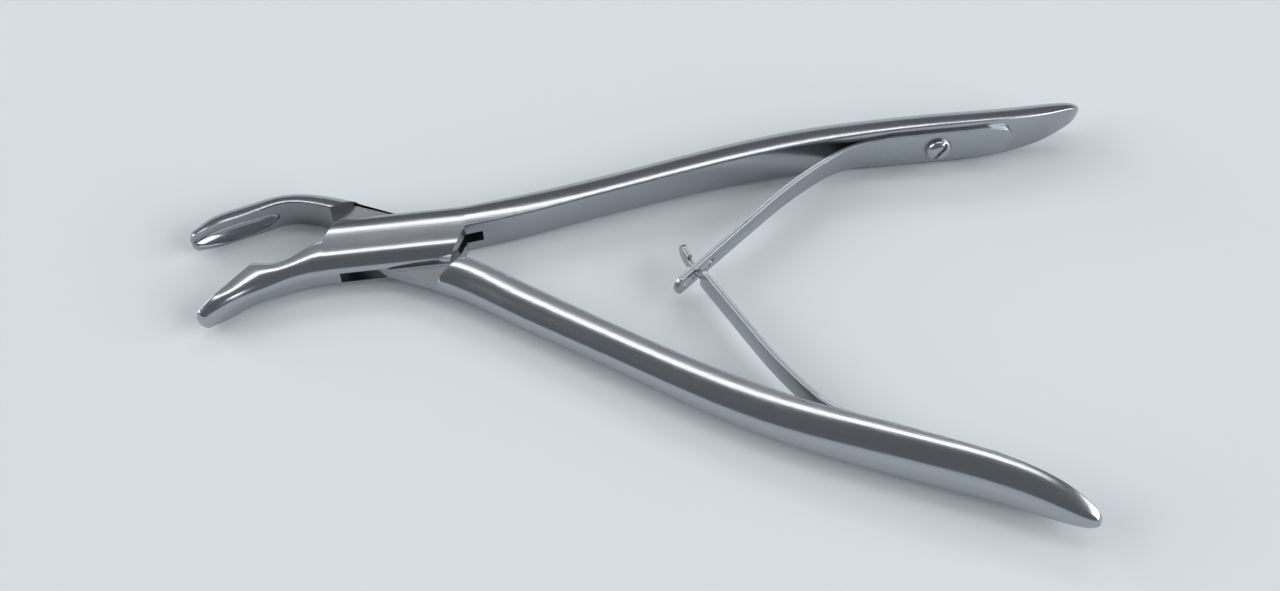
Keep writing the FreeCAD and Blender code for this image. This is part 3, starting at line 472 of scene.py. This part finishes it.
class RONGEUR_OT_box_member(bpy.types.Operator):
    """Make the box lock with its slot, its handle and its lower jaw"""

    bl_idname = "rongeur.box_member"
    bl_label = "Box member"

    def execute(self, context):
        steel = polished_steel("polished_stainless_box_side", 1)
        finish = (steel, "box_member", ["box_member"], "polished_steel")
        square = [sizes("box").squareness, sizes("jaw").handle_squareness, sizes("jaw").upper_squareness]
        handle = new_piece("upper_handle", limb("box", handle_table(1), square, 1, 0, None, 0.8), *finish)
        table = jaw_table(LOWER_ARM, LOWER_RIM, -1)
        start = LOWER_ARM[0, 0] - LOWER_ARM[1, 0]
        jaw = new_piece("lower_jaw", limb("box", table, square[:1], -1, start, None, 0.25, ground), *finish)
        lock = new_piece("box_lock", box_rings(), *finish)
        cut(jaw, cup_cutter(1))
        for piece in (handle, jaw, lock):
            cut(piece, slot_cutter())
            polish(piece)
        return {"FINISHED"}


class RONGEUR_OT_through_member(bpy.types.Operator):
    """Make the waist that passes through the box, with its handle and its upper jaw"""

    bl_idname = "rongeur.through_member"
    bl_label = "Through member"

    def execute(self, context):
        box = sizes("box")
        steel = polished_steel("polished_stainless_waist_side", -1)
        finish = (steel, "through_member", ["through_member"], "polished_steel")
        half = box.far / MM
        slope = math.tan(box.slant)
        root, root_inset, root_thickness, root_height = HANDLE[0]
        lead = (root / 2, root_inset, 0, root_thickness, root_height)
        table = handle_table(-1, lead)
        # The shoulders of the handle and the jaw stand off the box's slanted ends by their gaps.
        line = (box.back + box.handle_gap / math.sin(box.slant)) / MM
        start = line - half / slope - lead[0]
        square = [box.squareness, sizes("jaw").handle_squareness]
        rings = limb("through", table, square, -1, start, (line, box.slant), 0.8)
        handle = new_piece("lower_handle", rings, *finish)
        table = jaw_table(UPPER_ARM, UPPER_RIM, 1)
        jaw_slope = math.tan(box.jaw_slant)
        line = -(box.front + box.jaw_gap / math.sin(box.slant)) / MM - half * (1 / jaw_slope - 1 / slope)
        start = UPPER_ARM[0, 0] - (line + half / jaw_slope)
        square = [sizes("jaw").jaw_squareness]
        rings = limb("through", table, square, 1, start, (line, box.jaw_slant), 0.25, ground)
        jaw = new_piece("upper_jaw", rings, *finish)
        cut(jaw, cup_cutter(-1))
        thick = (box.slot_height / 2 - box.lap) / MM
        reach = box.waist_reach * math.sqrt(2) / MM
        # The waist runs on inside the handle and the jaw by its tuck, a little inside of their outlines.
        tuck = 4
        flush = half - 0.45
        jaw_inset = UPPER_ARM[1, 1]
        outline = [(root - 2, -flush), (root + tuck, 0.5 - flush), (root + tuck, -HANDLE[1, 1] - 0.5),
                   (reach - 0.2, -root_inset - 0.05), (reach - flush, flush), (2 - root, flush),
                   (-root - tuck + 0.5, flush - 0.75), (-root - tuck, jaw_inset + 1), (-reach, jaw_inset),
                   (-reach, 0), (flush - reach, -flush)]
        waist = new_piece("waist", swing(prism(outline, -thick, thick), -1), *finish)
        for piece in (handle, jaw, waist):
            polish(piece)
        return {"FINISHED"}


def leaf_path(at, hook_start, hook):
    """Centre line of a leaf at arc lengths from its rear end: the heading is the running sum of the
    curvature and the place the running sum of the heading."""
    spring = sizes("spring")
    flat = (spring.rear - spring.bend_start) / MM
    bend = spring.bend_radius / MM
    sweep = spring.sweep_radius / MM
    marks = [flat, flat + bend * spring.bend]
    marks.append(marks[1] + sweep * (spring.lean - spring.bend))
    fine = np.linspace(0, at[-1], 6001)
    middle = (fine[1:] + fine[:-1]) / 2
    # A leaf without a hook has it start at the very end, so the length to bend is never nought.
    hooked = hook / max(at[-1] - hook_start, 1e-6)
    curvature = np.select([middle < marks[0], middle < marks[1], middle < marks[2], middle < hook_start],
                          [0, 1 / bend, 1 / sweep, 0], hooked)
    step = fine[1]
    heading = np.concatenate([[0], np.cumsum(curvature) * step])
    mid = (heading[1:] + heading[:-1]) / 2
    x = spring.rear / MM - np.concatenate([[0], np.cumsum(np.cos(mid)) * step])
    y = (spring.seat - spring.thickness / 2) / MM - np.concatenate([[0], np.cumsum(np.sin(mid)) * step])
    return np.interp(at, fine, x), np.interp(at, fine, y), np.interp(at, fine, heading)


def leaf_length():
    """Arc length of a leaf's centre line."""
    spring = sizes("spring")
    bends = spring.bend_radius * spring.bend + spring.sweep_radius * (spring.lean - spring.bend)
    return (spring.rear - spring.bend_start + bends + spring.straight) / MM


def strip_rings(at, half_width, side, thickness, ease, hook_start, hook):
    """A rectangular section with eased edges carried along the leaf's centre line."""
    x, y, heading = leaf_path(at, hook_start, hook)
    quarter = np.linspace(0, np.pi / 2, 4)
    edge = ease * (1 - np.cos(quarter))
    across = np.concatenate([edge, thickness - edge[::-1]]) - thickness / 2
    across = across + np.zeros((len(x), 1))
    inset = np.clip(np.abs(across) - (thickness / 2 - ease), 0, ease)
    rise = np.clip(half_width[:, None] - (ease - np.sqrt(ease ** 2 - inset ** 2)), 0, None)
    rows_x = x[:, None] - across * np.sin(heading)[:, None]
    rows_y = y[:, None] + across * np.cos(heading)[:, None]
    upper = np.stack([rows_x, side * rows_y, rise], axis=-1)
    lower = np.stack([rows_x, side * rows_y, -rise], axis=-1)[:, ::-1]
    return swing(np.concatenate([upper, lower], axis=1), side)


def rounded_end(at, end, radius):
    """Share of the full width left at a distance from a round end: sqrt(1 - (1 - d / r)^2)."""
    inside = np.clip(1 - np.abs(end - at) / radius, 0, 1)
    return np.sqrt(np.clip(1 - inside ** 2, 0, 1))


def leaf_stations(total, breaks):
    """Arc lengths along a leaf, closer together at its ends and doubled where the width steps."""
    zone = 2.4
    hair = 1e-4
    ends = zone * (1 - np.cos(np.linspace(0, np.pi / 2, 15)))
    steps = [place + shift for place in breaks for shift in (-hair, hair)]
    return np.unique(np.concatenate([ends, np.linspace(zone, total - zone, 150), total - ends, steps]))


class RONGEUR_OT_leaf_springs(bpy.types.Operator):
    """Make the slotted leaf and the tongue leaf that passes through it"""

    bl_idname = "rongeur.leaf_springs"
    bl_label = "Leaf springs"

    def execute(self, context):
        spring = sizes("spring")
        total = leaf_length()
        thick = spring.thickness / MM
        rear = spring.rear / MM
        # How far the edges are eased, then the radii of the rounded ends.
        edge = 0.12
        tail_round, tip_round, head_round, shoulder_round = 2.2, 1.6, 1.2, 1.0
        bend_done = (spring.rear - spring.bend_start + spring.bend_radius * spring.bend) / MM
        marks = [0, rear - spring.plate_rear / MM, rear - spring.plate_front / MM, bend_done]
        widths = [spring.tail_width / 2 / MM, spring.plate_width / 2 / MM, spring.plate_width / 2 / MM,
                  spring.neck_width / 2 / MM]
        at = leaf_stations(total, [])
        half = np.interp(at, marks + [total], widths + [spring.end_width / 2 / MM])
        half *= rounded_end(at, total, tip_round) * rounded_end(at, 0, tail_round)
        steel = rolled_steel("rolled_spring_steel_upper", 1)
        rings = strip_rings(at, half, 1, thick, edge, total, 0)
        leaf = new_piece("slotted_leaf_spring", rings, steel, None, ["slotted_spring"], "spring_steel")
        window_from = total - (spring.slot_end + spring.slot_length) / MM
        window = np.linspace(window_from, total - spring.slot_end / MM, 61)
        gap = spring.slot_width / 2 / MM
        open_width = gap * rounded_end(window, window[0], gap) * rounded_end(window, window[-1], gap)
        keen = 0.01
        rings = strip_rings(window, open_width, 1, 3 * thick, keen, total, 0)
        cut(leaf, new_piece("window_cutter", rings))
        shoulder = total - spring.tongue_length / MM
        head = total - spring.head_length / MM
        at = leaf_stations(total, [shoulder, head])
        half = np.interp(at, marks + [shoulder], widths + [spring.shoulder_width / 2 / MM])
        rounding = 0.2
        half *= 1 - rounding + rounding * rounded_end(at, shoulder, shoulder_round)
        half = np.where(at > shoulder, spring.tongue_width / 2 / MM, half)
        half = np.where(at > head, spring.head_width / 2 / MM, half)
        half *= rounded_end(at, total, head_round) * rounded_end(at, 0, tail_round)
        steel = rolled_steel("rolled_spring_steel_lower", -1)
        hook_start = head - 0.8
        rings = strip_rings(at, half, -1, thick, edge, hook_start, spring.hook)
        tongue = new_piece("tongue_leaf_spring", rings, steel, None, ["tongue_spring"], "spring_steel")
        reach = spring.plate_front - spring.neck
        for piece, side, carrier, moved in ((leaf, 1, "box_member", "slotted_leaf"),
                                            (tongue, -1, "through_member", "tongue_leaf")):
            polish(piece)
            seat = side * spring.seat
            places = np.array([(spring.neck + reach, seat, 0), (spring.neck - reach, seat, 0)])
            bend_from, bend_to = swing(places / MM, side) * MM
            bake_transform(piece)
        return {"FINISHED"}


def turned(name, radius, height, centre_x, side, finish):
    """A turned shape about an axis across the instrument: each radius of the profile swept round."""
    around = np.linspace(0, 2 * np.pi, 65)[:-1]
    x = centre_x + radius[:, None] * np.cos(around)
    z = radius[:, None] * np.sin(around)
    y = np.broadcast_to(side * height[:, None], x.shape)
    return new_piece(name, swing(np.stack([x, y, z], axis=-1), side), *finish)


class RONGEUR_OT_spring_screws(bpy.types.Operator):
    """Make the two domed screws that hold the leaves"""

    bl_idname = "rongeur.spring_screws"
    bl_label = "Spring screws"

    def execute(self, context):
        spring = sizes("spring")
        steel = turned_steel("turned_stainless_screw")
        under = (spring.seat - spring.thickness) / MM
        rise = spring.screw_rise / MM
        head = spring.screw_head / 2 / MM
        shank = spring.screw_shank / 2 / MM
        end = (spring.seat + spring.screw_depth) / MM
        top = under - rise
        # The profile runs from the end of the shank, which is pointed, out to the rim and up the crown.
        dome = np.linspace(0, np.pi / 2, 13)
        crown = 0.8 * rise
        point, burr = 0.2, 0.05
        radius = np.concatenate([[0, shank - point, shank, shank, head - burr, head, head],
                                 head - crown * (1 - np.cos(dome)), [0.6 * (head - crown), 0]])
        height = np.concatenate([[end, end, end - point, under, under, under - burr, top + crown],
                                 top + crown * (1 - np.sin(dome)), [top, top]])
        place = spring.screw_place / MM
        width = spring.driver_width / 2 / MM
        reach = 1.5 * head
        floor = top + spring.driver_depth / MM
        for side, body, node in ((1, "box_member", "spring_screw_upper"),
                                 (-1, "through_member", "spring_screw_lower")):
            finish = (steel, body, [node], "screw_steel")
            screw = turned(node + "_dressed", radius, height, place, side, finish)
            turn = spring.driver_turn * side
            long_way = np.array([math.cos(turn), math.sin(turn)])
            short_way = np.array([-math.sin(turn), math.cos(turn)])
            signs = np.array([(1, 1), (-1, 1), (-1, -1), (1, -1)])
            corners = signs[:, :1] * reach * long_way + signs[:, 1:] * width * short_way
            clear = top - 1
            levels = np.array([floor, clear])[:, None] * side
            rings = np.stack(np.broadcast_arrays(place + corners[:, 0], levels, corners[:, 1]), axis=-1)
            cut(screw, new_piece("driver_cutter", swing(rings, side)))
            polish(screw, crease=40)
        return {"FINISHED"}


class RONGEUR_OT_joint_pin(bpy.types.Operator):
    """Make the pin, ground flush with the box"""

    bl_idname = "rongeur.joint_pin"
    bl_label = "Joint pin"

    def execute(self, context):
        box = sizes("box")
        steel = turned_steel("ground_stainless_pin")
        around = np.linspace(0, 2 * np.pi, 65)[:-1]
        face = 0.95
        radius = box.pin / 2 / MM * np.array([[0.0], [face], [1.0], [1.0], [face], [0.0]])
        inside = 1 - (box.pin / 2 / box.near) ** box.squareness
        # Each face lies just below the crown of the box, and its rim is chamfered.
        below, chamfer = 0.02, 0.1
        half = box.height / 2 / MM * inside ** (1 / box.squareness) - below
        level = np.array([[-half], [-half], [chamfer - half], [half - chamfer], [half], [half]])
        x = radius * np.cos(around)
        y = radius * np.sin(around)
        rings = swing(np.stack([x, y, np.broadcast_to(level, x.shape)], axis=-1), 1)
        pin = new_piece("flush_pin", rings, steel, "box_member", ["joint_pin"], "pin_steel")
        polish(pin)
        return {"FINISHED"}


def add(tree, kind, settings=None, links=None):
    """A shader node with its settings, and its inputs linked from (node, output) pairs."""
    item = tree.nodes.new(kind)
    for key, value in (settings or {}).items():
        if hasattr(item, key):
            setattr(item, key, value)
        else:
            item.inputs[key].default_value = value
    for key, (source, output) in (links or {}).items():
        tree.links.new(source.outputs[output], item.inputs[key])
    return item


def fresh_tree(name):
    """A new material with an empty tree."""
    material = bpy.data.materials.new(name)
    material.use_nodes = True
    material.node_tree.nodes.clear()
    return material, material.node_tree


def ground_metal(name, tint, rough, spread, turn, grain, depth):
    """Stainless steel with a ground finish: scratches drawn out along one direction change the gloss and
    raise a faint relief. Grain is the scratch spacing and its length, in millimetres."""
    material, tree = fresh_tree(name)
    place = add(tree, "ShaderNodeTexCoord")
    across, along = grain
    turned_place = add(tree, "ShaderNodeMapping", {"vector_type": "TEXTURE", "Rotation": (0, 0, turn)},
                       {"Vector": (place, "Object")})
    repeats = (1 / (along * MM), 1 / (across * MM), 1 / (across * MM))
    drawn = add(tree, "ShaderNodeMapping", {"Scale": repeats}, {"Vector": (turned_place, "Vector")})
    scratch = add(tree, "ShaderNodeTexNoise", {"Scale": 1.0, "Detail": 3.0, "Roughness": 0.6},
                  {"Vector": (drawn, "Vector")})
    # Handling marks, about 11 mm across.
    handling = add(tree, "ShaderNodeTexNoise", {"Scale": 90.0, "Detail": 2.0}, {"Vector": (place, "Object")})
    gloss = add(tree, "ShaderNodeMapRange", {"From Min": 0.3, "From Max": 0.7, "To Min": rough - spread,
                                             "To Max": rough + spread}, {"Value": (scratch, "Fac")})
    worn = add(tree, "ShaderNodeMapRange", {"From Min": 0.3, "From Max": 0.7, "To Min": -0.3 * spread,
                                            "To Max": 0.3 * spread}, {"Value": (handling, "Fac")})
    roughness = add(tree, "ShaderNodeMath", {"operation": "ADD"}, {0: (gloss, "Result"), 1: (worn, "Result")})
    relief = add(tree, "ShaderNodeBump", {"Strength": depth, "Distance": 0.01 * MM},
                 {"Height": (scratch, "Fac")})
    surface = add(tree, "ShaderNodeBsdfPrincipled", {"Base Color": (*tint, 1), "Metallic": 1.0},
                  {"Roughness": (roughness, "Value"), "Normal": (relief, "Normal")})
    add(tree, "ShaderNodeOutputMaterial", None, {"Surface": (surface, "BSDF")})
    return material


def polished_steel(name, side):
    """Forged stainless steel, ground and then brightened lengthwise: crisp long highlights, fine grain."""
    turn = side * sizes("box").opening / 2
    return ground_metal(name, sizes("finish").steel, rough=0.19, spread=0.05, turn=turn,
                        grain=(0.16, 9.0), depth=0.35)


def rolled_steel(name, side):
    """Cold rolled spring steel, satin along the strip: a flatter sheen than the forgings."""
    turn = side * (sizes("box").opening / 2 + sizes("spring").lean / 2)
    return ground_metal(name, sizes("finish").spring, rough=0.3, spread=0.05, turn=turn,
                        grain=(0.14, 6.0), depth=0.3)


def turned_steel(name):
    """Turned and tumbled stainless steel: an even soft gloss."""
    return ground_metal(name, sizes("finish").screw, rough=0.25, spread=0.04, turn=0,
                        grain=(0.2, 0.6), depth=0.2)


def paper_floor():
    """Matt cartridge paper, pale blue grey; seen directly or in the metal it shows at its own tone."""
    material, tree = fresh_tree("matt_paper")
    place = add(tree, "ShaderNodeTexCoord")
    fibre = add(tree, "ShaderNodeTexNoise", {"Scale": 1 / (0.8 * MM), "Detail": 4.0},
                {"Vector": (place, "Object")})
    relief = add(tree, "ShaderNodeBump", {"Strength": 0.1, "Distance": 0.02 * MM}, {"Height": (fibre, "Fac")})
    surface = add(tree, "ShaderNodeBsdfPrincipled",
                  {"Base Color": (*sizes("finish").paper, 1), "Roughness": 0.9, "Specular IOR Level": 0.2},
                  {"Normal": (relief, "Normal")})
    add(tree, "ShaderNodeOutputMaterial", None, {"Surface": (surface, "BSDF")})
    return material


def lamp(name, place, target, size, radiance):
    """A soft rectangular lamp that faces a target: its power is pi times its area times its radiance."""
    data = bpy.data.lights.new(name, "AREA")
    data.shape = "RECTANGLE"
    data.size, data.size_y = size
    data.energy = math.pi * size[0] * size[1] * radiance
    item = bpy.data.objects.new(name, data)
    bpy.context.collection.objects.link(item)
    way = Vector(target) - Vector(place)
    item.matrix_world = Matrix.Translation(place) @ way.to_track_quat("-Z", "Y").to_matrix().to_4x4()
    return item


# Lamps: degrees clockwise from behind the instrument, degrees from overhead, length, width and
# radiance. They stand FAR metres away, so that they light the whole floor alike.
FAR = 6.0
STUDIO = [
    ("far_strip", 0, 43, 5.2, 0.75, 3.8),
    ("panel", 0, 27, 5.2, 2.2, 0.15),
    ("top_strip", 0, 11, 5.2, 0.85, 3.9),
    ("left_panel", -86, 63, 5.6, 4.8, 3.8),
    ("right_panel", 98, 64, 6.0, 4.6, 3.8),
]


class RONGEUR_OT_stage(bpy.types.Operator):
    """Make the floor, the lamps, the world and the camera"""

    bl_idname = "rongeur.stage"
    bl_label = "Stage"

    def execute(self, context):
        scene = context.scene
        scene.view_settings.view_transform = "Standard"
        # The floor falls towards the handles, so that it touches both the box and the deepest handle.
        fall = 0.0180
        clearance = 0.02 * MM
        plan = 4 * FAR * np.array([[-1, -1], [1, -1], [1, 1], [-1, 1]])
        corners = np.column_stack([plan, -fall * plan[:, 0] - clearance])
        mesh = bpy.data.meshes.new("floor")
        mesh.from_pydata(corners.tolist(), [], [(0, 1, 2, 3)])
        mesh.materials.append(paper_floor())
        floor = bpy.data.objects.new("floor", mesh)
        context.collection.objects.link(floor)
        world = bpy.data.worlds.new("studio")
        scene.world = world
        world.use_nodes = True
        world.node_tree.nodes.clear()
        daylight = {"Color": (0.93, 0.96, 1.0, 1), "Strength": 0.2}
        sky = add(world.node_tree, "ShaderNodeBackground", daylight)
        add(world.node_tree, "ShaderNodeOutputWorld", None, {"Surface": (sky, "Background")})
        middle = (0.045, 0, 0)
        for name, round_to, tilt, long, wide, radiance in STUDIO:
            tipped = Matrix.Rotation(math.radians(-tilt), 3, "X")
            way = Matrix.Rotation(math.radians(-round_to), 3, "Z") @ tipped
            lamp(name, FAR * (way @ Vector((0, 0, 1))), middle, (long, wide), radiance)
        # The camera's place, how far it looks down and its way in plan.
        eye = Vector((0.058, -0.1572, 0.2543))
        pitch = math.radians(58.76)
        level = Vector((-0.0913, 0.9958, 0)).normalized()
        way = level * math.cos(pitch) - Vector((0, 0, math.sin(pitch)))
        data = bpy.data.cameras.new("camera")
        data.lens = 46.4
        data.sensor_width = 36
        camera = bpy.data.objects.new("camera", data)
        context.collection.objects.link(camera)
        camera.matrix_world = Matrix.Translation(eye) @ way.to_track_quat("-Z", "Y").to_matrix().to_4x4()
        scene.camera = camera
        return {"FINISHED"}


GROUPS = {"box": BoxSizes, "jaw": JawSizes, "spring": SpringSizes, "finish": FinishSettings}
OPERATORS = [RONGEUR_OT_box_member, RONGEUR_OT_through_member, RONGEUR_OT_joint_pin,
             RONGEUR_OT_leaf_springs, RONGEUR_OT_spring_screws, RONGEUR_OT_stage]


class RONGEUR_PT_parts(bpy.types.Panel):
    """Lists the rongeur's pieces and its stage"""

    bl_idname = "RONGEUR_PT_parts"
    bl_label = "Rongeur"
    bl_space_type = "VIEW_3D"
    bl_region_type = "UI"
    bl_category = "Rongeur"

    def draw(self, context):
        for operator in OPERATORS:
            self.layout.operator(operator.bl_idname)
        for name in GROUPS:
            section = self.layout.box()
            for key in GROUPS[name].__annotations__:
                section.prop(getattr(context.scene, "rongeur_" + name), key)


def register():
    for group in GROUPS.values():
        bpy.utils.register_class(group)
    for name, group in GROUPS.items():
        setattr(bpy.types.Scene, "rongeur_" + name, PointerProperty(type=group))
    for operator in OPERATORS:
        bpy.utils.register_class(operator)
    bpy.utils.register_class(RONGEUR_PT_parts)


def unregister():
    bpy.utils.unregister_class(RONGEUR_PT_parts)
    for operator in reversed(OPERATORS):
        bpy.utils.unregister_class(operator)
    for name in GROUPS:
        delattr(bpy.types.Scene, "rongeur_" + name)
    for group in GROUPS.values():
        bpy.utils.unregister_class(group)


def main():
    """Register the classes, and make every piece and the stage."""
    register()
    bpy.ops.rongeur.box_member()
    bpy.ops.rongeur.through_member()
    bpy.ops.rongeur.joint_pin()
    bpy.ops.rongeur.leaf_springs()
    bpy.ops.rongeur.spring_screws()
    bpy.ops.rongeur.stage()


if __name__ == "__main__":
    main()
